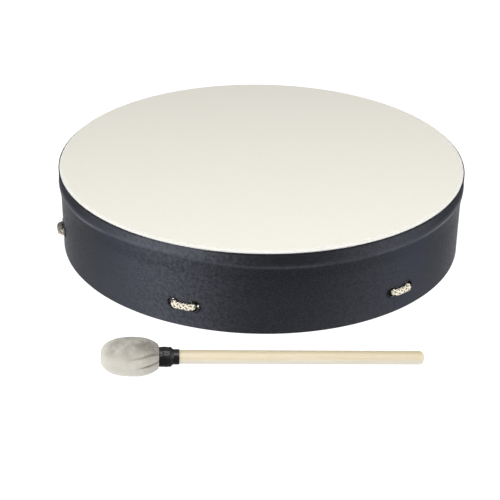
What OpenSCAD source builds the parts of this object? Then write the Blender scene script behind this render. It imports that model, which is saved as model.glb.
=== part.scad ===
// Buffalo drum: a shallow frame drum with a laced rope hand hold, and the mallet that lies in front of it.
// Millimetres, +Z up. The origin is the centre of the drum's open lower rim, on the table.

/* [Shell] */
// Outside diameter of the bare fibre hoop
hoop_d = 404.5; // [380:0.5:430]
// Wall of the fibre hoop
hoop_wall = 6; // [5:0.5:8]
// Height of the drum, from the table to the playing face
drum_h = 86; // [80:1:100]
// Rounding of the hoop's lower edges
rim_round = 1.5; // [0.5:0.25:2]

/* [Covering] */
// Thickness of the cloth covering
wrap_t = 0.8; // [0.5:0.1:1.2]
// How far the covering stops below the playing face
wrap_below_face = 2.2; // [1.6:0.2:3]
// How far the covering stops above the table
wrap_above_table = 0.4; // [0.2:0.1:1]
// Length over which the covering runs in below the skirt of the head
wrap_run_in = 15; // [6:1:18]

/* [Head] */
// Thickness of the head over the opening
head_t = 1; // [0.6:0.1:1.5]
// Thickness of the head's glued skirt
skirt_t = 1.35; // [0.8:0.05:1.8]
// Drop of the skirt below the playing face
skirt_drop = 17; // [14:1:28]
// Radius of the shoulder between playing face and skirt
shoulder_r = 3; // [2.6:0.1:4]

/* [Rope] */
// Diameter of the braided rope
rope_d = 6; // [5:0.25:7]
// Number of rope stitches round the shell
stitches = 6; // [4:1:8]
// Distance between the two holes of a stitch
hole_pitch = 21; // [18:0.5:36]
// Height of the rope holes above the table
hole_z = 23; // [20:1:30]
// Direction of the first stitch, seen from above
first_stitch = -109.7; // [-180:0.1:180]
// How far the last stitch is drilled off its even place, in degrees
last_stitch_drift = 2.3; // [-3:0.1:3]
// Radius of the rope's bend at a hole
hole_bend = 4; // [3.8:0.2:6]
// Middle radius of the rope ring at the hub
ring_r = 32; // [28:1:40]
// Turns of rope in the ring
ring_turns = 3; // [2:1:4]
// Space between neighbouring turns of the ring
ring_turn_gap = 0.6; // [0.5:0.1:1]

/* [Eyelets] */
// Room in the eyelet's bore round a rope that lies in its middle
eyelet_play = 1.35; // [0.3:0.05:1.8]
// Wall of the eyelet's barrel, which is also the rounding of its mouths
eyelet_wall = 0.7; // [0.4:0.1:0.8]
// Width of the eyelet's lip beyond its barrel
eyelet_lip_w = 0.8; // [0.6:0.1:1.6]
// Thickness of the eyelet's lip
eyelet_lip_t = 0.5; // [0.3:0.05:0.6]

/* [Mallet] */
// Length of the mallet from tip to butt
mallet_l = 283; // [240:1:340]
// Diameter of the wooden handle
handle_d = 12; // [10:0.5:15]
// Rounding of the handle's butt end
butt_round = 4; // [2:0.5:4.5]
// How far the handle stops short of the tip, inside the core
handle_setback = 18; // [12:1:26]
// Widest diameter of the mallet's head
head_d = 34.4; // [28:0.2:44]
// Length of the head in front of its widest place
head_front_l = 30; // [24:1:36]
// Length of the head's curve behind its widest place
head_back_l = 23.6; // [20:0.2:32]
// Squareness of the head's front, 2 is a plain ellipse
head_square = 2.6; // [2:0.1:3.2]
// Thickness of the leather cover
cover_t = 1.2; // [0.8:0.1:1.6]
// Thickness of the gathered leather on the handle
gather_t = 1.2; // [0.8:0.1:2]
// Length of the gathered leather on the handle
gather_l = 12; // [6:0.5:16]
// How far the head stands out over the tape at the neck
neck_swell = 1.2; // [0.4:0.1:2.4]
// Pleats round the gathered end of the cover
pleats = 16; // [10:1:20]
// Depth of a pleat at the gathered end
pleat_depth = 0.75; // [0.4:0.05:0.85]
// Thickness of the wound tape
tape_t = 0.5; // [0.3:0.1:1.5]
// Length of bare handle that the tape covers behind the gathered leather
tape_on_handle = 6; // [4:0.5:16]
// Direction of the mallet's handle, seen from above
mallet_yaw = 5.6; // [0:0.1:12]
// How far the mallet's tip lies to the left of the drum's middle
mallet_left = 135.5; // [90:0.5:180]
// How far the mallet's tip lies in front of the drum's nearest edge
mallet_front = 71; // [62:1:120]

/* [Hidden] */
$fn = 96;

// Narrow gap left for glue and for pieces that lie against each other
glue = 0.15;
// Space between soft pieces and what they lie on
soft_gap = 0.3;
// Narrow gap on both sides of an eyelet's lips, to the wall between them and to the rope
lip_gap = 0.05;
// Space between the mallet's core and its cover, whose inner wall runs straight from ring to ring
core_gap = 0.6;

// Radii of the shell's layers, from the inside out
hoop_r = hoop_d / 2;
hoop_in_r = hoop_r - hoop_wall;
skirt_r = hoop_r + glue + skirt_t;
wrap_low_r = hoop_r + glue + wrap_t;
wrap_top_r = skirt_r + glue + wrap_t;

// Heights of the shell's layers
hoop_top = drum_h - head_t - glue;
skirt_z = drum_h - skirt_drop;
wrap_top_z = drum_h - wrap_below_face;

// Rope and eyelets
rope_r = rope_d / 2;
bore_r = rope_r + eyelet_play;
barrel_r = bore_r + eyelet_wall;
lip_r = barrel_r + eyelet_lip_w;
hole_r = barrel_r + glue;
hole_turn = asin(hole_pitch / 2 / wrap_low_r);
// The rope is pulled to the side of the bore that faces the middle of its stitch
rope_shift = max(0, eyelet_play - soft_gap);
rope_turn = asin((hole_pitch / 2 - rope_shift) / wrap_low_r);
stitch_turn = 360 / stitches;
inner_lip_r = sqrt(pow(hoop_in_r, 2) - pow(lip_r, 2)) - lip_gap;
outer_lip_r = wrap_low_r + lip_gap;
run_gap = eyelet_lip_t + 2 * lip_gap;
run_r = (wrap_low_r + rope_r + run_gap) / cos(rope_turn);
mouth_r = inner_lip_r - eyelet_lip_t - rope_r;
mouth_bend = 15;

// Hub: a helix of rope that every lacing hooks round
ring_pitch = rope_d + ring_turn_gap;
bight_gap = 0.4;
bight_lift = 1;
bight_r = ring_r - rope_d - bight_gap;
bight_h = ring_pitch * (ring_turns - 1) / 2 + rope_d + bight_lift;
bight_bend = rope_d + bight_gap;

// Mallet, along its own axis from the tip
head_r = head_d / 2;
handle_r = handle_d / 2;
neck_r = handle_r + glue + gather_t;
tape_neck_r = neck_r + soft_gap + tape_t;
tape_handle_r = handle_r + glue + tape_t;
neck_s = head_front_l + head_back_l * sqrt(1 - pow((tape_neck_r + neck_swell) / head_r, 2));
gather_end = neck_s + gather_l;
tape_end = gather_end + tape_on_handle;
butt_s = mallet_l - butt_round;
lean = atan((head_r - handle_r) / (butt_s - head_front_l));
tip_z = head_r * cos(lean) + head_front_l * sin(lean);

// Steps and sides of the curved pieces
rope_sides = 8;
bend_steps = 4;
turn_steps = 24;
wrap_steps = 12;
core_steps = 20;
cover_steps = 11;
cover_sides = 3 * pleats;

// Colours
fibre = "#6b5846";
cloth = "#33343c";
film = "#ebe9dd";
cord = "#ddd3b8";
black_metal = "#1d1d1f";
maple = "#ecdcb8";
felt = "#d9d4c6";
suede = "#c3bfb1";
tape = "#262526";

// Points and vectors
function unit(v) = v / norm(v);
function at(radius, turn, z) = [radius * cos(turn), radius * sin(turn), z];
function stitch_dir(k) = first_stitch + k * stitch_turn;
function holes_dir(k) = stitch_dir(k) + (k == stitches - 1 ? last_stitch_drift : 0);

// One rounded corner of a route: an arc of radius r at b, between the runs from a and to c
function corner(a, b, c, r) =
    let (
        u = unit(a - b),
        v = unit(c - b),
        half = acos(u * v) / 2,
        middle = b + unit(u + v) * r / sin(half),
        from = b + u * r / tan(half) - middle,
        to = b + v * r / tan(half) - middle,
        sweep = 180 - 2 * half
    )
    [for (i = [0:bend_steps])
        middle + (from * sin(sweep * (1 - i / bend_steps)) + to * sin(sweep * i / bend_steps)) / sin(sweep)];

// A route through points, with the bends given for the points between its ends
function rounded(points, bends) =
    [
        points[0],
        for (i = [1:len(points) - 2])
            each corner(points[i - 1], points[i], points[i + 1], bends[i - 1]),
        points[len(points) - 1]
    ];

// Directions along a route, and side vectors that turn with it
function along(route) =
    let (last = len(route) - 1)
    [for (i = [0:last]) unit(route[min(i + 1, last)] - route[max(i - 1, 0)])];
function sideways(dirs) =
    [for (
        i = 0, s = unit(cross(dirs[0], [1, 2, 3]));
        i < len(dirs);
        i = i + 1, s = i < len(dirs) ? unit(s - (s * dirs[i]) * dirs[i]) : s
    ) s];

// Rings of points round a route
function tube_rings(route, r, sides) =
    let (dirs = along(route), side = sideways(dirs))
    [for (i = [0:len(route) - 1])
        [for (j = [0:sides - 1])
            let (turn = 360 * j / sides)
            route[i] + r * (cos(turn) * side[i] + sin(turn) * cross(dirs[i], side[i]))]];

// A closed solid through rings of points, each end closed by a fan to its own end point
module skin(rings, first_tip, last_tip) {
    n = len(rings[0]);
    last = len(rings) - 1;
    points = concat([for (ring = rings) each ring], [first_tip, last_tip]);
    first_mid = n * len(rings);
    walls = [for (i = [0:last - 1], j = [0:n - 1])
        let (k = (j + 1) % n)
        each [[n * i + j, n * (i + 1) + j, n * (i + 1) + k], [n * i + j, n * (i + 1) + k, n * i + k]]];
    first_end = [for (j = [0:n - 1]) [first_mid, j, (j + 1) % n]];
    last_end = [for (j = [0:n - 1]) [first_mid + 1, n * last + (j + 1) % n, n * last + j]];
    polyhedron(points, concat(walls, first_end, last_end));
}

module tube(route) {
    skin(tube_rings(route, rope_r, rope_sides), route[0], route[len(route) - 1]);
}

// A flat bar with rounded corners, as a section for turning
module round_bar(x0, x1, z0, z1, low_r, high_r) {
    translate([x0 + low_r, z0]) square([x1 - x0 - 2 * low_r, low_r]);
    translate([x0, z0 + low_r]) square([x1 - x0, z1 - z0 - low_r - high_r]);
    translate([x0 + high_r, z1 - high_r]) square([x1 - x0 - 2 * high_r, high_r]);
    for (x = [x0 + low_r, x1 - low_r]) translate([x, z0 + low_r]) circle(low_r);
    for (x = [x0 + high_r, x1 - high_r]) translate([x, z1 - high_r]) circle(high_r);
}

// Places things at the two holes of every stitch, with their own Z pointing out of the shell
module at_holes() {
    for (k = [0:stitches - 1], side = [-1, 1])
        rotate([0, 0, holes_dir(k) + side * hole_turn])
            translate([0, 0, hole_z])
                rotate([0, 90, 0])
                    children();
}

module rope_holes() {
    at_holes() translate([0, 0, hoop_in_r - hoop_wall]) cylinder(r = hole_r, h = 3 * hoop_wall);
}

// Fibre hoop: a rolled wall with a rounded bearing edge, drilled for the rope
module shell_hoop() {
    color(fibre)
        difference() {
            rotate_extrude()
                round_bar(hoop_in_r, hoop_r, 0, hoop_top, rim_round, shoulder_r - head_t);
            rope_holes();
        }
}

// Radius of the covering's inner face at a height: it runs in below the skirt's edge
function wrap_in_r(z) =
    let (t = min(1, max(0, (skirt_z - z) / wrap_run_in)))
    skirt_r + glue - (skirt_t + glue) * t * t * (3 - 2 * t);

// Cloth covering, glued over the hoop and over the skirt of the head
module shell_wrap() {
    bend_z = [for (i = [0:wrap_steps]) skirt_z - wrap_run_in * i / wrap_steps];
    heights = concat([wrap_top_z], bend_z, [wrap_above_table]);
    edge = wrap_t / 2;
    inner = [for (z = heights) [wrap_in_r(z), z]];
    outer = [for (i = [len(heights) - 1:-1:1]) [wrap_in_r(heights[i]) + wrap_t, heights[i]]];
    top = [[wrap_top_r, wrap_top_z - edge], [wrap_top_r - edge, wrap_top_z]];
    color(cloth)
        difference() {
            rotate_extrude() {
                polygon(concat(inner, outer, top));
                translate([wrap_top_r - edge, wrap_top_z - edge]) circle(edge);
            }
            rope_holes();
        }
}

// Head: a flat film with a rounded shoulder and a skirt that is glued down outside the hoop
module drumhead() {
    shoulder_in = shoulder_r - head_t;
    opening_r = hoop_r + glue;
    color(film)
        rotate_extrude()
            difference() {
                union() {
                    translate([0, skirt_z]) square([skirt_r, drum_h - shoulder_r - skirt_z]);
                    translate([0, drum_h - shoulder_r]) square([skirt_r - shoulder_r, shoulder_r]);
                    translate([skirt_r - shoulder_r, drum_h - shoulder_r])
                        intersection() {
                            circle(shoulder_r);
                            square(shoulder_r);
                        }
                }
                translate([0, skirt_z - 1]) square([opening_r, hoop_top + glue - shoulder_in - skirt_z + 1]);
                translate([0, skirt_z]) square([opening_r - shoulder_in, hoop_top + glue - skirt_z]);
                translate([opening_r - shoulder_in, hoop_top + glue - shoulder_in])
                    intersection() {
                        circle(shoulder_in);
                        square(shoulder_in);
                    }
            }
}

// Eyelets: a barrel through the wall, rolled out at both mouths into a lip
module eyelet_mouth(side) {
    rim_r = eyelet_lip_t / 2;
    mirror([0, side < 0 ? 1 : 0]) {
        intersection() {
            circle(eyelet_wall);
            translate([-eyelet_wall, 0]) square(eyelet_wall);
        }
        translate([0, eyelet_wall - eyelet_lip_t]) square([eyelet_lip_w - rim_r, eyelet_lip_t]);
        translate([eyelet_lip_w - rim_r, eyelet_wall - rim_r]) circle(rim_r);
    }
}

module rope_eyelets() {
    inside_z = inner_lip_r - eyelet_lip_t + eyelet_wall;
    outside_z = outer_lip_r + eyelet_lip_t - eyelet_wall;
    color(black_metal)
        at_holes()
            rotate_extrude() {
                translate([bore_r, inside_z]) square([eyelet_wall, outside_z - inside_z]);
                translate([barrel_r, inside_z]) eyelet_mouth(-1);
                translate([barrel_r, outside_z]) eyelet_mouth(1);
            }
}

// Height of the ring's middle where lacing k hooks over it
function bight_z(k) = hole_z + ring_pitch * ((k + 0.5) / stitches - 0.5);

// Route of one lacing: from the ring, out through a hole, along the shell, in again and back to the ring
function lacing_route(k) =
    let (
        dir = holes_dir(k),
        from_dir = stitch_dir(k) - stitch_turn / 2,
        to_dir = stitch_dir(k) + stitch_turn / 2,
        from_z = bight_z((k + stitches - 1) % stitches),
        to_z = bight_z(k)
    )
    rounded(
        [
            at(bight_r, from_dir, from_z),
            at(bight_r, from_dir, from_z - bight_h),
            at(mouth_r, dir - rope_turn, hole_z),
            at(run_r, dir - rope_turn, hole_z),
            at(run_r, dir + rope_turn, hole_z),
            at(mouth_r, dir + rope_turn, hole_z),
            at(bight_r, to_dir, to_z + bight_h),
            at(bight_r, to_dir, to_z)
        ],
        [bight_bend, mouth_bend, hole_bend, hole_bend, mouth_bend, bight_bend]
    );

module rope_lacing(k) {
    color(cord) tube(lacing_route(k));
}

// Rope ring of the hub: turns that climb one pitch each, held together in the loops of the lacing
ring_route = [for (i = [0:turn_steps * ring_turns])
    at(ring_r, stitch_dir(0) + 360 * i / turn_steps,
        hole_z + ring_pitch * (i / turn_steps - ring_turns / 2))];
ring_gap = min([for (i = [0:turn_steps * ring_turns], j = [0:turn_steps * ring_turns])
    if (j - i > turn_steps / 2) norm(ring_route[i] - ring_route[j]) - rope_d]);
echo(ring_least_gap = ring_gap);

module rope_ring() {
    color(cord) tube(ring_route);
}

// Places the mallet, which rests on its head and on the butt of its handle
module at_mallet() {
    translate([-mallet_left, -wrap_low_r - mallet_front, tip_z])
        rotate([0, lean, mallet_yaw])
            children();
}

// Turns a section about the mallet's axis: its height runs along the handle
module turned() {
    rotate([0, 90, 0]) rotate_extrude() children();
}

// Radius of the mallet's head at a distance from the tip, or of a layer that lies deeper by an inset
function egg_r(s, inset = 0) =
    let (
        front = (head_front_l - s) / (head_front_l - inset),
        back = (s - head_front_l) / (head_back_l - inset)
    )
    (head_r - inset) * (s < head_front_l
        ? pow(1 - pow(front, head_square), 1 / head_square)
        : sqrt(1 - pow(back, 2)));
// Distances from the tip at which the head's rings lie, closer together towards both ends
function egg_steps(inset, steps) =
    [for (i = [0:steps]) inset + (neck_s - 2 * inset) * (1 - cos(180 * i / steps)) / 2];

module mallet_handle() {
    color(maple)
        at_mallet()
            turned() {
                translate([0, handle_setback]) square([handle_r, butt_s - handle_setback]);
                translate([0, butt_s]) square([handle_r - butt_round, butt_round]);
                translate([handle_r - butt_round, butt_s])
                    intersection() {
                        circle(butt_round);
                        square(butt_round);
                    }
            }
}

// Felt core, with a blind bore for the handle
module mallet_core() {
    inset = cover_t + core_gap;
    outline = [for (s = egg_steps(inset, core_steps)) [egg_r(s, inset), s]];
    color(felt)
        at_mallet()
            turned()
                difference() {
                    polygon(concat(outline, [[0, neck_s - inset]]));
                    translate([0, handle_setback - glue]) square([handle_r + glue / 2, mallet_l]);
                }
}

// Leather cover: drawn over the core and gathered in pleats on the handle
function pleat(s, j) =
    let (t = min(1, max(0, (s - head_front_l) / (neck_s - head_front_l))))
    (j % 3 == 0 ? -pleat_depth : pleat_depth / 4) * t * t;
function cover_ring(s, radius, fold) =
    [for (j = [0:cover_sides - 1])
        let (turn = 360 * j / cover_sides, r = radius + fold * pleat(s, j))
        [s, -r * sin(turn), -r * cos(turn)]];

module mallet_cover() {
    outer_s = egg_steps(0, cover_steps);
    inner_s = egg_steps(cover_t, cover_steps);
    grip_r = handle_r + glue;
    rings = concat(
        [for (i = [1:cover_steps]) cover_ring(outer_s[i], egg_r(outer_s[i]), 1)],
        [cover_ring(neck_s, neck_r, 0), cover_ring(gather_end, neck_r, 0)],
        [cover_ring(gather_end, grip_r, 0), cover_ring(neck_s - cover_t, grip_r, 0)],
        [for (i = [cover_steps:-1:1]) cover_ring(inner_s[i], egg_r(inner_s[i], cover_t), 0)]
    );
    color(suede) at_mallet() skin(rings, [0, 0, 0], [cover_t, 0, 0]);
}

// Black tape wound over the gathered leather and on to the handle
module mallet_tape() {
    lap = tape_t / 2;
    leather_end = gather_end + glue;
    color(tape)
        at_mallet()
            turned()
                polygon([
                    [neck_r + soft_gap, neck_s + glue],
                    [tape_neck_r, neck_s + glue + lap],
                    [tape_neck_r, leather_end],
                    [tape_handle_r, leather_end + gather_t],
                    [tape_handle_r, tape_end - lap],
                    [tape_handle_r - lap, tape_end],
                    [handle_r + glue, tape_end],
                    [handle_r + glue, leather_end],
                    [neck_r + soft_gap, leather_end]
                ]);
}

shell_hoop();
shell_wrap();
drumhead();
rope_eyelets();
for (k = [1:stitches]) rope_lacing(k - 1);
rope_ring();
mallet_handle();
mallet_core();
mallet_cover();
mallet_tape();
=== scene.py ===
# %% [markdown]
# # A buffalo drum and its mallet
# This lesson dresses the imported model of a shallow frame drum. The fibre hoop, the eyelets, the wooden
# handle and the hidden felt core keep their own solids and get a finish. What is thin, braided or gathered
# is modelled again: the coated cloth round the shell, the film head, the rope lacing, and the suede and the
# tape on the mallet.

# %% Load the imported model
import math
import random
from functools import partial

import bpy
import numpy as np
from mathutils import Matrix, Vector, noise


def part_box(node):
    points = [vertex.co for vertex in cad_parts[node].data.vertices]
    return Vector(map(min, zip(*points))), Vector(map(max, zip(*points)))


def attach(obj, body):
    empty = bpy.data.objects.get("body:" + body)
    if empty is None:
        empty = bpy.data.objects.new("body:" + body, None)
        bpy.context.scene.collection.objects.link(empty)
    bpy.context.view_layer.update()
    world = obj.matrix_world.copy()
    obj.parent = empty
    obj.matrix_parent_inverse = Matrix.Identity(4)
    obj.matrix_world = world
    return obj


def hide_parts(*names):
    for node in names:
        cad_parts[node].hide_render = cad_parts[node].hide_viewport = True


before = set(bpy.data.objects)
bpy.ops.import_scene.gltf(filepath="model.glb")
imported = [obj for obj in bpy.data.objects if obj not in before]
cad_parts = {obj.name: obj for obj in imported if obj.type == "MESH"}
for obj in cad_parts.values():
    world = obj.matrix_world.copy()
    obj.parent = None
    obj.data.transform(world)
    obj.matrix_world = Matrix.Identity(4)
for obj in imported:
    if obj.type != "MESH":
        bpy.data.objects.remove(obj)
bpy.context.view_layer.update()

MM = 0.001
print("packed nodes:", ", ".join(sorted(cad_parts)))

# %% [markdown]
# ## Camera
# The drum is seen from the front, from 28 degrees above the table and from about 1.4 metres away. The
# angles come from the two ellipses of the rim: their flatness gives the tilt, and their sizes give the
# distance.

# %% Camera
CAMERA_PLACE = (0, -1.24206, 0.64376)
CAMERA_TURNS = (61.81, -0.722, 0.865)
CAMERA_LENS, SENSOR_W = 96.29, 36
bpy.ops.object.camera_add(location=CAMERA_PLACE, rotation=[math.radians(a) for a in CAMERA_TURNS])
camera = bpy.context.object
camera.name = "camera"
camera.data.lens = CAMERA_LENS
camera.data.sensor_width = SENSOR_W
bpy.context.scene.camera = camera
print("camera at", CAMERA_PLACE, "with a lens of", CAMERA_LENS, "mm")

# %% [markdown]
# ## The rope's route
# One braided rope laces the shell. From the ring at the hub it runs out to a hole, along the outside for a
# stitch, in again and back to the ring, six times round. The drum holds the rope all the way, so nothing of
# it hangs free, and its route is the construction's own: straight runs with a rounded corner at each hole
# and at each hook round the ring. A curve with handles could follow it too, but arcs keep every bend at a
# known radius.

# %% Sizes of the lacing, in millimetres and degrees
STITCHES = 6
FIRST_STITCH, LAST_DRIFT = -109.7, 2.3
ROPE_R = 3.0
HOOP_IN_R, CLOTH_R = 196.25, 203.2
HOLE_Z, HOLE_PITCH = 23.0, 21.0
EYELET_PLAY, EYELET_WALL, LIP_W, LIP_T, LIP_GAP = 1.35, 0.7, 0.8, 0.5, 0.05
ROPE_GAP = 0.3
RING_R, RING_TURNS, RING_PITCH = 32.0, 3, 6.6
BIGHT_R, BIGHT_H = 25.6, 13.6
ROUTE_BENDS = (6.4, 15, 4, 4, 15, 6.4)
barrel_r = ROPE_R + EYELET_PLAY + EYELET_WALL
hole_turn = math.degrees(math.asin(HOLE_PITCH / 2 / CLOTH_R))
rope_turn = math.degrees(math.asin((HOLE_PITCH / 2 - EYELET_PLAY + ROPE_GAP) / CLOTH_R))
run_r = (CLOTH_R + 2 * LIP_GAP + LIP_T + ROPE_R) / math.cos(math.radians(rope_turn))
mouth_r = math.sqrt(HOOP_IN_R ** 2 - (barrel_r + LIP_W) ** 2) - LIP_GAP - LIP_T - ROPE_R
print("holes", round(hole_turn, 2), "and rope", round(rope_turn, 2), "degrees from the middle of a stitch")

# %% Route of the lacing and of the ring


def at(radius, turn, z):
    """A point at a radius and a height, in a direction seen from above."""
    return np.array([radius * math.cos(math.radians(turn)), radius * math.sin(math.radians(turn)), z])


def unit(vector):
    """The same direction with a length of 1."""
    return vector / np.linalg.norm(vector)


def corner(before, point, after, radius, steps=12):
    """An arc of the given radius in place of a sharp corner."""
    u, v = unit(before - point), unit(after - point)
    half = math.acos(u @ v) / 2
    middle = point + unit(u + v) * radius / math.sin(half)
    start = point + u * radius / math.tan(half) - middle
    end = point + v * radius / math.tan(half) - middle
    sweep = math.pi - 2 * half
    shares = np.linspace(0, 1, steps + 1)
    return [middle + (start * math.sin(sweep * (1 - t)) + end * math.sin(sweep * t)) / math.sin(sweep)
            for t in shares]


def holes_dir(k):
    """Direction of the middle of stitch k: the last one is drilled a little off its even place."""
    return FIRST_STITCH + 360 / STITCHES * k + (LAST_DRIFT if k == STITCHES - 1 else 0)


def hook_z(k):
    """Height of the ring's middle where lacing k hooks round it."""
    return HOLE_Z + RING_PITCH * ((k + 0.5) / STITCHES - 0.5)


def lacing_route(k):
    """From the ring out through a hole, along the shell, in again and back to the ring."""
    turn = holes_dir(k)
    from_turn = FIRST_STITCH + 360 / STITCHES * (k - 0.5)
    to_turn = from_turn + 360 / STITCHES
    from_z, to_z = hook_z((k - 1) % STITCHES), hook_z(k)
    points = [
        at(BIGHT_R, from_turn, from_z),
        at(BIGHT_R, from_turn, from_z - BIGHT_H),
        at(mouth_r, turn - rope_turn, HOLE_Z),
        at(run_r, turn - rope_turn, HOLE_Z),
        at(run_r, turn + rope_turn, HOLE_Z),
        at(mouth_r, turn + rope_turn, HOLE_Z),
        at(BIGHT_R, to_turn, to_z + BIGHT_H),
        at(BIGHT_R, to_turn, to_z),
    ]
    route = [points[0]]
    for i, bend in enumerate(ROUTE_BENDS, 1):
        route += corner(points[i - 1], points[i], points[i + 1], bend)
    return np.array(route + [points[-1]])


def ring_route(steps=96):
    """The hub: turns of rope that climb one pitch each."""
    return np.array([
        at(RING_R, FIRST_STITCH + 360 * i / steps, HOLE_Z + RING_PITCH * (i / steps - RING_TURNS / 2))
        for i in range(steps * RING_TURNS + 1)])


def length_of(route):
    """Length of a route from point to point."""
    return float(np.linalg.norm(np.diff(route, axis=0), axis=1).sum())


lacings = [lacing_route(k) for k in range(STITCHES)]
print("lacing", [round(length_of(r)) for r in lacings], "mm, ring", round(length_of(ring_route())), "mm")

# %% [markdown]
# ## Braiding the yarns
# The rope is a braid of sixteen flat yarns. Eight wind to the left and eight to the right, and each goes
# over one and under one of the others. No operator braids, so each yarn is swept along its own wavy helix:
# its distance from the rope's middle swings out where it passes over and in where it passes under. Four
# thin dark tracer yarns among the pale ones show as the flecks on the rope.

# %% Sizes of the braid, in millimetres
CARRIERS = 8
BRAID_LAY = 22.9
BRAID_R, BRAID_SWING = 2.27, 0.36
YARN_HALF_W, YARN_HALF_T = 0.78, 0.42
TRACER_HALF_W = 0.42
YARN_SIDES = 4
CORE_R, CORE_SIDES = 1.8, 8
RINGS_PER_LAY = 48
TRACERS = {1: (0, 2, 4, 6), -1: ()}
ROPE_MELT, MELT_LEAST = 3.0, 0.12
# Painted shade: the rope is painted black where it runs through the shell's wall, fading out just outside it
HOLE_SHADE_FROM, HOLE_SHADE_TO, HOLE_SHADE_INSIDE = 204.6, 203.2, 2.0
# No route starts along this direction, so the first side vector can be square to it
ASIDE = (0.3, 0.2, 1.0)
print("braid of", 2 * CARRIERS, "yarns with a lay of", BRAID_LAY, "mm")

# %% Sweeping tubes along a route


def even_steps(route, count):
    """The same route with its points evenly spaced, and the distance along it of each."""
    walked = np.concatenate([[0], np.cumsum(np.linalg.norm(np.diff(route, axis=0), axis=1))])
    marks = np.linspace(0, walked[-1], count + 1)
    return np.column_stack([np.interp(marks, walked, route[:, i]) for i in range(3)]), marks


def directions(route):
    """Directions along a route."""
    ways = np.gradient(route, axis=0)
    return ways / np.linalg.norm(ways, axis=1)[:, None]


def side_vectors(route):
    """Directions along a route, and side vectors that turn as little as they can."""
    ways = directions(route)
    sides = [unit(np.cross(ways[0], ASIDE))]
    for way in ways[1:]:
        sides.append(unit(sides[-1] - (sides[-1] @ way) * way))
    return ways, np.array(sides)


def sweep(centres, radial, ways, half_w, half_t, sides):
    """Points of a closed tube whose section is half_w wide along the surface and half_t thick across it."""
    across = np.cross(ways, radial)
    turns = np.arange(sides) * 2 * math.pi / sides
    return (centres[:, None] + half_w * np.cos(turns)[None, :, None] * across[:, None]
            + half_t * np.sin(turns)[None, :, None] * radial[:, None])


def tube_faces(rings, sides, first):
    """Faces of a tube of rings, with both ends closed."""
    faces = []
    for i in range(rings - 1):
        for j in range(sides):
            a, b = first + i * sides + j, first + i * sides + (j + 1) % sides
            faces.append((a, a + sides, b + sides, b))
    faces.append(tuple(first + j for j in range(sides)))
    faces.append(tuple(first + (rings - 1) * sides + j for j in reversed(range(sides))))
    return faces


# %% Braiding one length of rope


def keep_values(mesh, name, values):
    """Gives each point of a mesh a value that its finish reads."""
    mesh.attributes.new(name, "FLOAT", "POINT").data.foreach_set("value", values)


def braid(name, centres, ways, sides, marks, lay, melted=0.0):
    """A braided rope along centres. marks are the distances along the whole rope, in millimetres."""
    ups = np.cross(ways, sides)
    swing = np.cos(2 * math.pi * CARRIERS * marks / lay)
    ends = np.minimum(marks - marks[0], marks[-1] - marks)
    swell = np.ones(len(marks))
    if melted:
        swell = np.sqrt(1 - (1 - np.clip(ends / melted, MELT_LEAST, 1)) ** 2)
    out_from_axis = np.hypot(centres[:, 0], centres[:, 1])
    # Painted shade where the rope runs through the holes
    painted_shade_and_highlight = np.clip((HOLE_SHADE_FROM - out_from_axis) / (HOLE_SHADE_FROM - HOLE_SHADE_TO), 0, 1)
    painted_shade_and_highlight *= out_from_axis > HOOP_IN_R - HOLE_SHADE_INSIDE
    points, faces, tracer = [], [], []
    for way in (1, -1):
        for carrier in range(CARRIERS):
            dark = carrier in TRACERS[way]
            turn = way * 2 * math.pi * marks / lay + 2 * math.pi * carrier / CARRIERS
            radial = np.cos(turn)[:, None] * sides + np.sin(turn)[:, None] * ups
            radius = (BRAID_R + way * BRAID_SWING * swing) * swell
            yarn = centres + radius[:, None] * radial
            half_w = TRACER_HALF_W if dark else YARN_HALF_W
            faces += tube_faces(len(yarn), YARN_SIDES, sum(len(p) for p in points))
            tube = sweep(yarn, radial, directions(yarn), half_w, YARN_HALF_T, YARN_SIDES)
            points.append(tube.reshape(-1, 3))
            tracer.append(np.full(len(points[-1]), float(dark)))
    faces += tube_faces(len(centres), CORE_SIDES, sum(len(p) for p in points))
    core = sweep(centres, sides, ways, CORE_R, CORE_R, CORE_SIDES)
    core = centres[:, None] + (core - centres[:, None]) * swell[:, None, None]
    points.append(core.reshape(-1, 3))
    tracer.append(np.zeros(len(points[-1])))
    mesh = bpy.data.meshes.new(name)
    mesh.from_pydata((np.concatenate(points) * MM).tolist(), [], faces)
    keep_values(mesh, "tracer", np.concatenate(tracer))
    hole_shade = [np.repeat(painted_shade_and_highlight, YARN_SIDES)] * 2 * CARRIERS + [np.repeat(painted_shade_and_highlight, CORE_SIDES)]
    keep_values(mesh, "painted_shade_and_highlight", np.concatenate(hole_shade))
    mesh.shade_smooth()
    rope = bpy.data.objects.new(name, mesh)
    bpy.context.collection.objects.link(rope)
    print(name, "has", 2 * CARRIERS, "yarns and", len(faces), "faces")
    return rope


# %% [markdown]
# The six lacings follow on from each other, so they are braided as one closed rope and cut at the ring. The
# length of the lay is trimmed until a whole number of lays goes round, and the last little twist is spread
# over the whole rope, so that the yarns meet at every cut.

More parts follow.
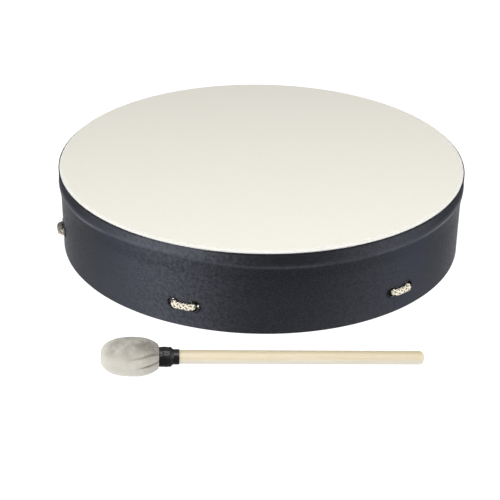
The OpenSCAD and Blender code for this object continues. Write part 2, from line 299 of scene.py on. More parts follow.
# %% Lacing and ring
whole = np.concatenate([lacings[0]] + [route[1:] for route in lacings[1:]])
lays = round(length_of(whole) / BRAID_LAY)
lay = length_of(whole) / lays
whole, whole_marks = even_steps(whole, lays * RINGS_PER_LAY)
whole_ways, whole_sides = side_vectors(whole)
whole_ups = np.cross(whole_ways, whole_sides)
slip = math.atan2(whole_sides[-1] @ whole_ups[0], whole_sides[-1] @ whole_sides[0])
turn_back = -slip * whole_marks / whole_marks[-1]
whole_sides = np.cos(turn_back)[:, None] * whole_sides + np.sin(turn_back)[:, None] * whole_ups
cuts = np.concatenate([[0], np.cumsum([length_of(route) for route in lacings])])
cuts = [int(np.argmin(abs(whole_marks - cut))) for cut in cuts]
ropes = []
for k in range(STITCHES):
    part = slice(cuts[k], cuts[k + 1] + 1)
    ropes.append(braid(f"braided_lacing_{k + 1}", whole[part], whole_ways[part], whole_sides[part],
                       whole_marks[part], lay))
hub = ring_route()
hub, hub_marks = even_steps(hub, round(length_of(hub) / lay * RINGS_PER_LAY))
ropes.append(braid("braided_ring", hub, *side_vectors(hub), hub_marks, lay, melted=ROPE_MELT))
for rope, node_name in zip(ropes, [f"rope_lacing_{k + 1}" for k in range(STITCHES)] + ["rope_ring"]):
    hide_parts(node_name)
    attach(rope, "drum")
print("rope in all:", round((whole_marks[-1] + hub_marks[-1]) * MM, 2), "m")

# %% [markdown]
# ## Turning a profile
# The covering, the head and the mallet are round, so each starts as a circle that is extruded and resized
# from ring to ring, as on a lathe. A screw or a spin would do the same, but ring by ring leaves even rows
# of faces, which the later dents and folds need.

# %% A small lathe


def take(piece):
    """Leaves only this piece selected and active."""
    bpy.ops.object.select_all(action="DESELECT")
    piece.select_set(True)
    bpy.context.view_layer.objects.active = piece


def turn_profile(name, profile, sides):
    """Turns a list of (radius, height) about Z."""
    bpy.ops.object.select_all(action="DESELECT")
    radius, height = profile[0]
    bpy.ops.mesh.primitive_circle_add(vertices=sides, radius=radius, location=(0, 0, height))
    piece = bpy.context.object
    piece.name = name
    bpy.ops.object.transform_apply(location=True, rotation=True, scale=True)
    bpy.ops.object.mode_set(mode="EDIT")
    bpy.ops.mesh.select_all(action="SELECT")
    for next_radius, next_height in profile[1:]:
        bpy.ops.mesh.extrude_region_move(TRANSFORM_OT_translate={"value": (0, 0, next_height - height)})
        share = next_radius / radius
        bpy.ops.transform.resize(value=(share, share, 1), center_override=(0, 0, next_height))
        radius, height = next_radius, next_height
    bpy.ops.object.mode_set(mode="OBJECT")
    return piece


def face_outwards(piece, close_end=False):
    """Turns all faces outwards, after filling the ring that the lathe left selected if that end is closed."""
    take(piece)
    bpy.ops.object.mode_set(mode="EDIT")
    if close_end:
        bpy.ops.mesh.edge_face_add()
    bpy.ops.mesh.select_all(action="SELECT")
    bpy.ops.mesh.normals_make_consistent(inside=False)
    bpy.ops.object.mode_set(mode="OBJECT")


def apply_modifier(piece, kind, **settings):
    """Adds a modifier with its settings and applies it."""
    take(piece)
    modifier = piece.modifiers.new(kind.lower(), kind)
    for name, value in settings.items():
        setattr(modifier, name, value)
    bpy.ops.object.modifier_apply(modifier=modifier.name)


def smooth(piece, degrees=40):
    """Shades a piece smooth, apart from edges sharper than an angle."""
    take(piece)
    bpy.ops.object.shade_smooth_by_angle(angle=math.radians(degrees))


# %% [markdown]
# ## Coated cloth round the shell
# The dark covering is a coated cloth glued round the hoop. It runs over the skirt of the head, so a low
# ridge goes round the shell where the skirt ends, and below that ridge the cloth runs in to the hoop. A
# cloth simulation would only show what the glue already fixed, so the covering is turned to the shape that
# it is glued to.

# %% Covering
wrap_low, wrap_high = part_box("shell_wrap")
head_low, head_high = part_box("drumhead")
CLOTH_T = 0.8 * MM
EDGE_R, EDGE_STEPS = CLOTH_T / 2, 3
RUN_IN, RIDGE_LOW, RIDGE_HIGH = 15 * MM, 4 * MM, 8 * MM
ROW_STEPS = (3 * MM, 1.5 * MM, 0.5 * MM, 1 * MM)
SHELL_SIDES = 720
skirt_edge = head_low.z
cloth_low_r, cloth_high_r = CLOTH_R * MM, wrap_high.x


def clamp(value):
    """A value held between 0 and 1."""
    return min(1, max(0, value))


def ease(value):
    """A value held between 0 and 1, with a soft start and a soft end."""
    t = clamp(value)
    return t * t * (3 - 2 * t)


def cloth_radius(z):
    """Outer radius of the covering at a height."""
    return cloth_high_r + (cloth_low_r - cloth_high_r) * ease((skirt_edge - z) / RUN_IN)


def rows(low, high, step):
    """Heights from low up to high, without high itself."""
    count = max(1, round((high - low) / step))
    return [low + (high - low) * i / count for i in range(count)]


def rounded(radius, top, bend, steps):
    """Rows of a quarter round between a wall and the flat at its top."""
    turns = [math.radians(90 * step / steps) for step in range(steps + 1)]
    return [(radius - bend * (1 - math.cos(turn)), top - bend * (1 - math.sin(turn))) for turn in turns]


levels = [wrap_low.z, skirt_edge - RUN_IN, skirt_edge - RIDGE_LOW, skirt_edge + RIDGE_HIGH]
levels.append(wrap_high.z - EDGE_R)
profile = []
for low, high, step in zip(levels, levels[1:], ROW_STEPS):
    profile += [(cloth_radius(z), z) for z in rows(low, high, step)]
profile += rounded(cloth_high_r, wrap_high.z, EDGE_R, EDGE_STEPS)
covering = turn_profile("cloth_covering", profile, SHELL_SIDES)
print("covering turned in", len(profile), "rows")

# %% [markdown]
# Glue and hand pressure leave the cloth slightly uneven, and its two ends lap over each other at the back.
# So each point is pushed in or out a little: along the ridge, by a slow random unevenness, and at the lap.
# The ridge wanders, and climbs by a few millimetres at the front left. Each point also keeps four values
# for the finish: how near it is to the ridge, how far it lies above it, how much painted sheen it gets,
# and how blue the coat is. The wall then gets its thickness, and a bar through every rope hole cuts
# the covering open.

# %% Ridge, unevenness and lap
RIDGE_H, RIDGE_W, RIDGE_ABOVE, RIDGE_HIGHLIGHT_W = 0.4 * MM, 2.6 * MM, 0.6 * MM, 1.3 * MM
RIDGE_VARY, VARY_SIZE, VARY_FROM = 0.5, 30 * MM, Vector((7, 3, 1))
RIDGE_CLIMB, CLIMB_TURN, CLIMB_WIDE = 3.8 * MM, -117.0, 22.0
WANDER_H, WANDER_SIZE = 0.8 * MM, 40 * MM
UNEVEN_H, UNEVEN_SIZE = 0.12 * MM, 34 * MM
LAP_H, LAP_W, LAP_TURN = 0.5 * MM, 12 * MM, 90.0
# A patch has the direction of its middle, a width in degrees and a share
# These patches are painted sheen at the front left and the front right, stronger above the ridge than below
# it
SHEEN_PLACES = [(-113.0, 14.0, 1.25), (-55.0, 14.0, 0.35)]
NAVY_PLACES = [(-121.0, 14.0, 0.9), (-47.0, 7.5, 0.85)]
SHEEN_BELOW = 0.45


def flat(place):
    """A place moved to the height of the table."""
    return Vector((place.x, place.y, 0))


def turn_of(place):
    """Direction of a place seen from above, in degrees."""
    return math.degrees(math.atan2(place.y, place.x))


def bell(offset, width):
    """1 in the middle, and almost nothing at twice the width."""
    return math.exp(-(offset / width) ** 2)


def ridge_height(place):
    """Height of the ridge's middle in the direction of a place."""
    climb = RIDGE_CLIMB * bell(turn_of(place) - CLIMB_TURN, CLIMB_WIDE)
    wander = WANDER_H * noise.noise(flat(place) / WANDER_SIZE)
    return skirt_edge + RIDGE_ABOVE + climb + wander


def cloth_push(place, off_ridge):
    """How far the covering stands out from its turned shape at a place."""
    ridge_h = RIDGE_H * (1 + RIDGE_VARY * noise.noise(place / VARY_SIZE + VARY_FROM))
    push = ridge_h * bell(off_ridge, RIDGE_W) + UNEVEN_H * noise.noise(place / UNEVEN_SIZE)
    lap_share = math.radians(turn_of(place) - LAP_TURN) * cloth_low_r / LAP_W
    if 0 <= lap_share < 1:
        push += LAP_H * (1 - lap_share)
    return push


def share_of(patches, place):
    """How much a place is in any of the patches."""
    return max(share * bell(turn_of(place) - middle, wide) for middle, wide, share in patches)


# %% Pushing the covering and giving it its wall
point_values = {"ridge": [], "above_ridge": [], "sheen_patch": [], "navy": []}
for vertex in covering.data.vertices:
    off_ridge = vertex.co.z - ridge_height(vertex.co)
    above = clamp(off_ridge / (2 * RIDGE_W))
    point_values["ridge"].append(bell(off_ridge, RIDGE_HIGHLIGHT_W))
    point_values["above_ridge"].append(above)
    coat_marks = share_of(SHEEN_PLACES, vertex.co)
    point_values["sheen_patch"].append(coat_marks * (SHEEN_BELOW + (1 - SHEEN_BELOW) * above))
    point_values["navy"].append(share_of(NAVY_PLACES, vertex.co))
    vertex.co += flat(vertex.co).normalized() * cloth_push(vertex.co, off_ridge)
for name, values in point_values.items():
    keep_values(covering.data, name, values)
face_outwards(covering)
apply_modifier(covering, "SOLIDIFY", thickness=CLOTH_T, offset=-1)
print("covering is", CLOTH_T / MM, "mm thick, with a ridge", RIDGE_H / MM, "mm high")

# %% Rope holes in the covering
HOLE_PLAY = 0.15
BAR_SIDES, BAR_L = 48, 12 * MM
hole_turns = [holes_dir(k) + side * hole_turn for k in range(STITCHES) for side in (-1, 1)]
bars = []
for turn in hole_turns:
    bpy.ops.mesh.primitive_cylinder_add(
        vertices=BAR_SIDES, radius=(barrel_r + HOLE_PLAY) * MM, depth=BAR_L,
        location=at(cloth_low_r, turn, HOLE_Z * MM), rotation=(0, math.radians(90), math.radians(turn)))
    bars.append(bpy.context.object)
take(bars[0])
for bar in bars:
    bar.select_set(True)
bpy.ops.object.join()
apply_modifier(covering, "BOOLEAN", object=bars[0], operation="DIFFERENCE", solver="EXACT")
bpy.data.objects.remove(bars[0])
smooth(covering)
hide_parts("shell_wrap")
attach(covering, "drum")
print("covering:", len(covering.data.polygons), "faces, with", len(hole_turns), "rope holes")

# %% [markdown]
# ## Film head
# The head is a stiff film with a fibre-like coat. It was pressed to shape: a flat face, a rounded shoulder
# and a skirt that is glued down outside the hoop. A bevelled disc would give the face and the shoulder but
# no skirt, so one profile from the skirt's edge to the middle makes it. The wall gets its thickness
# inwards, and the underside shows through the open back.

# %% Head
FILM_T = 1.0 * MM
SHOULDER_R, SHOULDER_STEPS = 3.0 * MM, 12
FACE_RINGS = (0.985, 0.9, 0.7, 0.45, 0.2)
skirt_r, face_z = head_high.x, head_high.z
profile = [(skirt_r, skirt_edge), (skirt_r, (skirt_edge + face_z - SHOULDER_R) / 2)]
profile += rounded(skirt_r, face_z, SHOULDER_R, SHOULDER_STEPS)
profile += [((skirt_r - SHOULDER_R) * share, face_z) for share in FACE_RINGS]
head = turn_profile("film_head", profile, SHELL_SIDES)
face_outwards(head, close_end=True)
apply_modifier(head, "SOLIDIFY", thickness=FILM_T, offset=-1)
smooth(head, degrees=30)
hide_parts("drumhead")
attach(head, "drum")
print("head:", round(2 * skirt_r / MM, 1), "mm across,", len(head.data.polygons), "faces")

# %% [markdown]
# ## The mallet's own axis
# The mallet lies on the table on its head and on the butt of its handle, so its axis leans a little. Its
# soft pieces are turned about Z, with the tip at the origin, and then moved to their place in the shared
# frame.

# %% Place of the mallet, in millimetres and degrees
MALLET_L, BUTT_ROUND, HANDLE_R = 283.0, 4.0, 6.0
HEAD_R, HEAD_FRONT, HEAD_BACK, HEAD_SQUARE = 17.2, 30.0, 25.0, 2.6
MALLET_YAW, MALLET_LEFT, MALLET_FRONT = 5.6, 135.5, 71.0
lean = math.atan((HEAD_R - HANDLE_R) / (MALLET_L - BUTT_ROUND - HEAD_FRONT))
tip_z = HEAD_R * math.cos(lean) + HEAD_FRONT * math.sin(lean)
mallet_tip = Vector((-MALLET_LEFT, -CLOTH_R - MALLET_FRONT, tip_z)) * MM
mallet_place = (Matrix.Translation(mallet_tip) @ Matrix.Rotation(math.radians(MALLET_YAW), 4, "Z")
                @ Matrix.Rotation(lean + math.radians(90), 4, "Y"))


def lay_on_table(piece):
    """Moves a piece from the mallet's own axis to its place, and keeps that place in its mesh."""
    take(piece)
    piece.matrix_world = mallet_place
    bpy.ops.object.transform_apply(location=True, rotation=True, scale=True)


print("mallet tip at", [round(v / MM, 1) for v in mallet_tip], "mm")
print("mallet leans by", round(math.degrees(lean), 2), "degrees")

# %% [markdown]
# ## Suede cover
# A round of suede is drawn over the felt core and gathered on the handle. The gathers press a fan of folds
# into it, deepest at the neck and gone before the widest place. Two of them, at the front, are long and
# strong, and the long one slants round the head. Cloth simulation would scatter the folds, so the cover is
# turned as an egg and the folds are pushed in to lie where the leather really creases: each is a narrow
# groove with a soft swelling beside it. The egg is about a millimetre fuller at the neck than the plain
# solid, which leaves room for the folds.

# %% Egg shape of the cover
NECK_R, NECK_S, GATHER_END = 7.35, 49.81, 61.5
# Rows between the gathers and the egg: added radius, and distance past the neck
NECK_ROWS = [(0, 4), (0, 1), (0.5, 0.5), (1.4, 0.4)]
COVER_SIDES, EGG_ROWS = 160, 46


def egg_radius(s):
    """Radius of the mallet's head at a distance from the tip."""
    if s < HEAD_FRONT:
        return HEAD_R * (1 - ((HEAD_FRONT - s) / HEAD_FRONT) ** HEAD_SQUARE) ** (1 / HEAD_SQUARE)
    return HEAD_R * math.sqrt(1 - ((s - HEAD_FRONT) / HEAD_BACK) ** 2)


profile = [(NECK_R, GATHER_END)] + [(NECK_R + wider, NECK_S + past) for wider, past in NECK_ROWS]
for row in range(EGG_ROWS):
    s = NECK_S * (1 + math.cos(math.pi * row / EGG_ROWS)) / 2
    profile.append((egg_radius(s), s))
cover = turn_profile("suede_cover", [(r * MM, s * MM) for r, s in profile], COVER_SIDES)
face_outwards(cover, close_end=True)
print("cover turned in", len(profile), "rows")

# %% Folds of the cover
# A fold has a direction round the axis at the neck and at its far end, a depth, a reach and a width, in
# degrees and millimetres: -90 is the front and 180 is the top
folds = [
    (-131, -107, 1.25, 29, 1.2), (-94, -84, 1.5, 21, 1.3), (-112, -101, 0.35, 12, 0.9),
    (-103, -96, 0.3, 9, 0.8), (-150, -141, 0.3, 20, 1.0), (-168, -160, 0.3, 24, 1.2),
]
SMALL_FOLDS, FOLD_SEED, FOLD_JITTER = 34, 11, 4
FOLD_DEPTHS, FOLD_REACHES, FOLD_WIDTHS, FOLD_SLANTS = (0.15, 0.45), (6, 16), (0.6, 1.0), (2, 10)
FOLD_SWAY, SWAY_L, FOLD_SWELL = 2, 5, 0.35
FOLD_RISE, FOLD_CURVE, FOLD_DEEPEST = 1.8, 1.2, 1.7
random.seed(FOLD_SEED)
for number in range(SMALL_FOLDS):
    turn = -180 + 360 * number / SMALL_FOLDS + random.uniform(-FOLD_JITTER, FOLD_JITTER)
    depth, reach, width = [random.uniform(*ends) for ends in (FOLD_DEPTHS, FOLD_REACHES, FOLD_WIDTHS)]
    folds.append((turn, turn + random.uniform(*FOLD_SLANTS), depth, reach, width))


def fold_depth(turn, s):
    """How deep the folds press into the cover at a direction and a distance from the tip."""
    depth = 0.0
    for neck_turn, far_turn, fold_h, reach, width in folds:
        share = (s - (NECK_S - reach)) / reach
        if share <= 0:
            continue
        middle = far_turn + (neck_turn - far_turn) * share + FOLD_SWAY * math.sin(neck_turn + s / SWAY_L)
        apart = math.radians((turn - middle + 180) % 360 - 180) * egg_radius(min(s, NECK_S))
        swelling = FOLD_SWELL * bell(abs(apart) - 2 * width, width)
        depth += fold_h * min(1, FOLD_RISE * share) ** FOLD_CURVE * (bell(apart, width) - swelling)
    return min(depth, FOLD_DEEPEST)


print("cover has", len(folds), "folds")

# %% Pressing the folds in
NECK_END = NECK_S + 0.45
SLACK_H, SLACK_SIZE, SLACK_FROM, TIP_CALM = 0.25, 9 * MM, 8, 4
SUEDE_T = 0.8 * MM
creases = []
for vertex in cover.data.vertices:
    s = vertex.co.z / MM
    out = flat(vertex.co)
    depth = fold_depth(turn_of(out), s) if s < NECK_END else 0.0
    slack = SLACK_H * noise.noise(vertex.co / SLACK_SIZE) * min(1, s / SLACK_FROM)
    creases.append(max(0.0, depth))
    if out.length > 0:
        vertex.co -= out.normalized() * (depth - slack) * MM * min(1, s / TIP_CALM)
keep_values(cover.data, "crease", creases)
apply_modifier(cover, "SUBSURF", levels=1, render_levels=1)
apply_modifier(cover, "SOLIDIFY", thickness=SUEDE_T, offset=-1)
smooth(cover, degrees=70)
lay_on_table(cover)
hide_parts("mallet_cover")
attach(cover, "mallet")
print("cover:", round(max(creases), 2), "mm at its deepest fold,", len(cover.data.polygons), "faces")

# %% [markdown]
# ## Wound tape
# Black tape is wound over the gathered leather and on to the handle, with each turn lapping over the last.
# A flat strip could be wound on a spiral, but its edges would cut into each other, so the tape is a turned
# sleeve whose radius steps up where a turn begins. It is creased along the handle where the leather under
# it is bunched.

# %% Tape sleeve
TAPE_START, TAPE_END = NECK_END, 67.81
TAPE_R_NECK, TAPE_R_HANDLE, TAPE_BULGE = 8.15, 6.65, 0.3
STEP_DOWN, STEP_DOWN_L = GATHER_END - 1, 2.4
LEATHER_PLAY, WOOD_PLAY = 0.2, 0.15
TAPE_SIDES, TAPE_ROWS = 144, 80


def tape_radius(s):
    """Radius of the tape over the bunched leather and over the bare handle."""
    bulge = TAPE_BULGE * math.sin(math.pi * clamp((s - TAPE_START) / (GATHER_END - TAPE_START)))
    return TAPE_R_NECK + bulge + (TAPE_R_HANDLE - TAPE_R_NECK) * ease((s - STEP_DOWN) / STEP_DOWN_L)


inner_r, inner_end = NECK_R + LEATHER_PLAY, GATHER_END + WOOD_PLAY
bore_r = HANDLE_R + WOOD_PLAY
profile = [(inner_r, TAPE_START)]
for row in range(TAPE_ROWS + 1):
    s = TAPE_START + (TAPE_END - TAPE_START) * row / TAPE_ROWS
    profile.append((tape_radius(s), s))
profile += [(bore_r, TAPE_END), (bore_r, inner_end), (inner_r, inner_end)]
tape = turn_profile("wound_tape", [(r * MM, s * MM) for r, s in profile], TAPE_SIDES)
bpy.ops.object.mode_set(mode="EDIT")
bpy.ops.mesh.select_all(action="DESELECT")
bpy.ops.mesh.select_non_manifold()
bpy.ops.mesh.bridge_edge_loops()
bpy.ops.object.mode_set(mode="OBJECT")
face_outwards(tape)
print("tape sleeve:", round(TAPE_END - TAPE_START, 1), "mm long")

# %% Turns and creases of the tape
TAPE_PITCH, TAPE_STEP, STEP_SHARP, STEP_SINK = 6.2, 0.3, 9, 0.5
CRINKLE_ROUND, CRINKLE_L, CRINKLE_H = 3.4, 9, 0.3
FINE_TIMES, FINE_H = 3.1, 0.24
CALM_L, CALM = 3, 0.8
SKIN = 0.1
for vertex in tape.data.vertices:
    s = vertex.co.z / MM
    out = flat(vertex.co)
    if out.length / MM < tape_radius(s) - SKIN:
        continue
    turn = math.atan2(out.y, out.x)
    wound = ((s - TAPE_START) / TAPE_PITCH - turn / (2 * math.pi)) % 1
    lap = TAPE_STEP * (min(1, (1 - wound) * STEP_SHARP) - STEP_SINK * wound)
    ring_place = Vector((math.cos(turn) * CRINKLE_ROUND, math.sin(turn) * CRINKLE_ROUND, s / CRINKLE_L))
    crinkle = CRINKLE_H * noise.noise(ring_place) + FINE_H * noise.noise(ring_place * FINE_TIMES)
    bunched = 1 - clamp((s - STEP_DOWN) / CALM_L) * CALM
    vertex.co += out.normalized() * (lap + crinkle) * bunched * MM
smooth(tape, degrees=35)
lay_on_table(tape)
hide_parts("mallet_tape")
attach(tape, "mallet")
print("tape:", len(tape.data.polygons), "faces,", round((TAPE_END - TAPE_START) / TAPE_PITCH, 1), "turns")

# %% [markdown]
# ## Helpers for the finishes
# A finish is a small tree of nodes. One function adds a node with its settings and links, one turns a
# colour as a screen shows it into the linear colour that light needs, one works out a texture's scale from
# a real size, and one maps a range of values to another. The last makes a material, lays the tones of a
# finish over its colour, and dresses the pieces. Settings that many nodes share have a name.

# %% Node, colour and scale
COLOUR = {"data_type": "RGBA"}
SOFT = {"interpolation_type": "SMOOTHSTEP"}
TIMES, GREATER = {"operation": "MULTIPLY"}, {"operation": "MAXIMUM"}
# A noise seldom leaves this part of its range
NOISE = (0.3, 0.7)


def node(tree, kind, inputs=None, output=None, **settings):
    """Adds a shader node. Inputs are values or other nodes' outputs, and settings are its own choices.
    Returns the output that is named, or else the first one in use."""
    made = tree.nodes.new("ShaderNode" + kind)
    for name, value in settings.items():
        setattr(made, name, value)
    for name, value in (inputs or {}).items():
        if isinstance(value, bpy.types.NodeSocket):
            tree.links.new(value, made.inputs[name])
        else:
            made.inputs[name].default_value = value
    return made.outputs[output] if output else next(socket for socket in made.outputs if socket.enabled)


def linear(colour):
    """An sRGB hex colour as linear red, green, blue and alpha."""
    parts = [int(colour[i:i + 2], 16) / 255 for i in (1, 3, 5)]
    return [p / 12.92 if p <= 0.04045 else ((p + 0.055) / 1.055) ** 2.4 for p in parts] + [1.0]


def sized(place, size_mm, detail=0.0):
    """Inputs of a texture with features of a size in millimetres."""
    return {"Vector": place, "Scale": 1000 / size_mm, "Detail": detail}


def span(low, high, to_low=0.0, to_high=1.0):
    """Inputs that map one range of values to another."""
    return {"From Min": low, "From Max": high, "To Min": to_low, "To Max": to_high}


def finish(pieces, material_name, draw=None, **values):
    """Dresses pieces in a new material. Values go on its shader. draw adds its nodes and returns a colour,
    the tones that lie over it with their shares, and outputs for other sockets of the shader."""
    material = bpy.data.materials.new(material_name)
    material.use_nodes = True
    tree = material.node_tree
    sockets = tree.nodes["Principled BSDF"].inputs
    for name, value in values.items():
        sockets[name.replace("_", " ")].default_value = value
    if draw:
        add = partial(node, tree)
        base, tones, outputs = draw(add, add("TexCoord", output="Object"))
        colour = linear(base)
        for share, tone in tones:
            colour = add("Mix", {"Factor": share, "A": colour, "B": linear(tone)}, **COLOUR)
        for name, output in {"Base Color": colour, **outputs}.items():
            tree.links.new(output, sockets[name])
    for piece in pieces:
        piece.data.materials.clear()
        piece.data.materials.append(material)
    print(material_name, "on", ", ".join(piece.name for piece in pieces))


# %% [markdown]
# ## Coated cloth
# The covering is a woven cloth with a dark vinyl coat, embossed with a fine pebble grain. The coat gives a
# dull satin shine that breaks up on the grain. Its colour drifts between charcoal and navy, is bluest at
# the front left and the front right, and pales a little towards the lower edge, which the drum stands on. A
# picture of cloth could be wrapped round the shell, but it would blur close to, so noises at the sizes of
# the real grain draw it.

# %% Colour of the coat
PEBBLE, MOTTLE, DRIFT, RIDGE_PATCH_SIZE = 1.6, 3.2, 70.0, 60.0
# The coat is painted paler towards its lower edge
LOW_PALING = span(50 * MM, 4 * MM, 0, 0.4)


def dyed_coat(add, place, mottle):
    """Tones of the coat where nothing has worn it."""
    drift = add("TexNoise", sized(place, DRIFT, 2))
    hue = add("MapRange", {"Value": drift, **span(0.38, 0.62)})
    navy = add("Attribute", output="Fac", attribute_name="navy")
    speckle = add("MapRange", {"Value": mottle, **span(*NOISE, 0, 0.6)})
    paler_low = add("MapRange", {"Value": add("SeparateXYZ", {"Vector": place}, "Z"), **LOW_PALING})
    return [(hue, "#11131b"), (navy, "#0f122e"), (speckle, "#0f1013"), (paler_low, "#2d2e33")]


# %% [markdown]
# Above the ridge the cloth is stretched over the skirt, where the coat is darker and blotchy, and dull at
# the two sides. Its cut upper edge is black. The ridge at the two sides is painted paler, as a painted
# highlight, and the coat at the front left and the front right is painted paler, as a painted sheen, which
# also thins the black of the cut edge there. The values that each point keeps say where, and the mottle
# breaks the painted sheen up.

# %% Marks of the coat, with its painted highlight and painted sheen
BLOTCH = span(0.35, 0.6, 0.4, 0.9)
SHEEN_MOTTLE = span(0.38, 0.62, 0.6, 1.4)
PATCHY = span(0.25, 0.6, 0.3)
AT_THE_SIDES = span(130 * MM, 180 * MM, 0.25)
CUT_EDGE = span(wrap_high.z - 2.2 * MM, wrap_high.z - 1.2 * MM)


def coat_wear_and_painted_light(add, place, mottle):
    """Tones of the coat's marks, of its painted highlight and of its painted sheen, and the roughness of the
    coat.
    """
    above, sheen_patch, ridge = [add("Attribute", output="Fac", attribute_name=name)
                          for name in ("above_ridge", "sheen_patch", "ridge")]
    sideways = add("Math", {0: add("SeparateXYZ", {"Vector": place}, "X")}, operation="ABSOLUTE")
    side_share = add("MapRange", {"Value": sideways, **AT_THE_SIDES}, **SOFT)
    taut = add("Math", {0: above, 1: add("MapRange", {"Value": mottle, **BLOTCH})}, **TIMES)
    # Painted sheen: the coat is painted paler at the front left and the front right, broken up by the mottle
    painted_sheen = add("Math", {0: sheen_patch, 1: add("MapRange", {"Value": mottle, **SHEEN_MOTTLE})}, **TIMES)
    patches = add("TexNoise", sized(place, RIDGE_PATCH_SIZE, 3))
    # Painted highlight: the ridge is painted paler at the two sides, in patches
    crest = add("Math", {0: ridge, 1: side_share}, **TIMES)
    painted_shade_and_highlight = add("Math", {0: crest, 1: add("MapRange", {"Value": patches, **PATCHY})}, **TIMES)
    cut = add("MapRange", {"Value": add("SeparateXYZ", {"Vector": place}, "Z"), **CUT_EDGE}, **SOFT)
    inked = add("Math", {0: cut, 1: add("MapRange", {"Value": sheen_patch, **span(0, 1, 1, 0.15)})}, **TIMES)
    rough = add("MapRange", {"Value": mottle, **span(*NOISE, 0.5, 0.66)})
    for duller in (add("Math", {0: above, 1: side_share}, **TIMES), cut):
        rough = add("Math", {0: rough, 1: duller}, **GREATER)
    return [(taut, "#0d0e11"), (painted_sheen, "#404248"), (painted_shade_and_highlight, "#5a5b63"), (inked, "#050506")], rough


# %% Finish of the covering


def coated_cloth(add, place):
    mottle = add("TexNoise", sized(place, MOTTLE, 5))
    # The real pebbles are about half a millimetre: they are drawn three times as coarse, so that they show
    pebble = add("TexVoronoi", sized(place, PEBBLE))
    coat_marks, rough = coat_wear_and_painted_light(add, place, mottle)
    grain = add("Bump", {"Height": pebble, "Strength": 0.35, "Distance": 0.25 * MM})
    uneven = add("Bump", {"Height": mottle, "Strength": 0.35, "Distance": 0.3 * MM, "Normal": grain})
    return "#111215", dyed_coat(add, place, mottle) + coat_marks, {"Roughness": rough, "Normal": uneven}


finish([covering], "coated_cloth", coated_cloth, IOR=1.5, Specular_IOR_Level=0.85,
       Specular_Tint=linear("#e9eeff"))

# %% [markdown]
# ## Coated film
# The head is a polyester film with a printed-in fibre coat, cream and matt. Close to, short pale fibres
# cross each other at all angles, and from a step away only a faint cloudiness is left. The shoulder is
# painted greyer, as painted shade. One noise would give only clouds, so two stretched ones are laid across
# each other for the fibres.

# %% Finish of the head
FIBRE_L, CLOUD = 9.6, 45.0
FIBRE_WAYS = [((1, 4, 1), 0.6), ((4, 1, 1), 0.2)]
# Painted shade: the shoulder is painted greyer
SHOULDER_SHADE_SPAN = span(skirt_r - SHOULDER_R, skirt_r - 1 * MM)


def from_middle(add, place):
    """Distance of a place from the drum's axis."""
    level = add("VectorMath", {0: place, 1: (1, 1, 0)}, **TIMES)
    return add("VectorMath", {0: level}, "Value", operation="LENGTH")


def coated_film(add, place):
    cloud = add("TexNoise", sized(place, CLOUD, 3))
    crossed = {}
    for number, (stretch, turn) in enumerate(FIBRE_WAYS):
        laid = add("Mapping", {"Vector": place, "Scale": stretch, "Rotation": (0, 0, turn)})
        crossed[number] = add("TexNoise", sized(laid, FIBRE_L, 3))
    fibres = add("Math", crossed, **GREATER)
    shoulder_shade = add("MapRange", {"Value": from_middle(add, place), **SHOULDER_SHADE_SPAN}, **SOFT)
    rough = add("MapRange", {"Value": fibres, **span(0, 1, 0.4, 0.6)})
    bump = add("Bump", {"Height": fibres, "Strength": 0.12, "Distance": 0.1 * MM})
    tones = [(cloud, "#e9e6da"), (fibres, "#efede2"), (shoulder_shade, "#d9d8d3")]
    return "#e5e1d4", tones, {"Roughness": rough, "Normal": bump}


finish([head], "coated_film", coated_film, IOR=1.5)

# %% [markdown]
# ## Wood fibre hoop
# The hoop is rolled from many layers of resin-soaked wood fibre. Its walls are brown with darker and paler
# flecks, and its lower edge shows the layers as fine rings. The layers follow the hoop, so a wave over the
# distance from its axis draws them, where a straight wave would cross the wall.

# %% Finish of the hoop
PLY, FLECK = 0.75, 3.0


def rolled_fibre(add, place):
    layer = add("Math", {0: from_middle(add, place), 1: 2 * math.pi / (PLY * MM)}, **TIMES)
    rings = add("Math", {0: layer}, operation="SINE")
    shift = add("MapRange", {"Value": rings, **span(-1, 1, -0.08, 0.08)})
    flecks = add("TexNoise", {**sized(place, FLECK, 6), "Roughness": 0.65})
    tone = add("Math", {0: flecks, 1: shift}, operation="ADD")
    pale = add("MapRange", {"Value": tone, **span(*NOISE)})
    rough = add("MapRange", {"Value": tone, **span(0, 1, 0.5, 0.8)})
    bump = add("Bump", {"Height": tone, "Strength": 0.25, "Distance": 0.2 * MM})
    return "#4a3a2b", [(pale, "#8a7358")], {"Roughness": rough, "Normal": bump}


finish([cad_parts["shell_hoop"]], "rolled_wood_fibre", rolled_fibre, IOR=1.45)

# %% [markdown]
# ## Lacquered eyelets
# The eyelets are brass under black lacquer. They shine with small sharp glints, and the lacquer is thin in
# spots. The eyelets are small, so one noise for the spots is enough.

# %% Finish of the eyelets
SCUFF = 1.2


def black_lacquer(add, place):
    scuff = add("TexNoise", sized(place, SCUFF, 5))
    thin = add("MapRange", {"Value": scuff, **span(0.62, 0.78)})
    rough = add("MapRange", {"Value": scuff, **span(0, 1, 0.25, 0.5)})
    return "#0a0a0b", [(thin, "#3a352c")], {"Roughness": rough}


finish([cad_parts["rope_eyelets"]], "black_lacquered_brass", black_lacquer, IOR=1.5, Coat_Weight=0.5,
       Coat_Roughness=0.08)

# %% [markdown]
# ## Braided polyester
# The rope's yarns are bundles of off-white filaments with a soft shine. Dirt settles between them, and the
# tracer yarns are dyed brown. The stitch at the far left is painted grey, as painted shade, and where the
# rope runs through the eyelets it is painted black, as painted shade. The yarns are real shapes and carry
# their own dye and that shade as values, so the finish adds only fuzz, soil and the grey of the left stitch.

# %% Finish of the rope
FUZZ, SOIL = 0.5, 14.0
# Painted shade: the stitch at the far left is painted grey
LEFT_STITCH_SHADE = span(-195 * MM, -204 * MM, 0, 0.9)


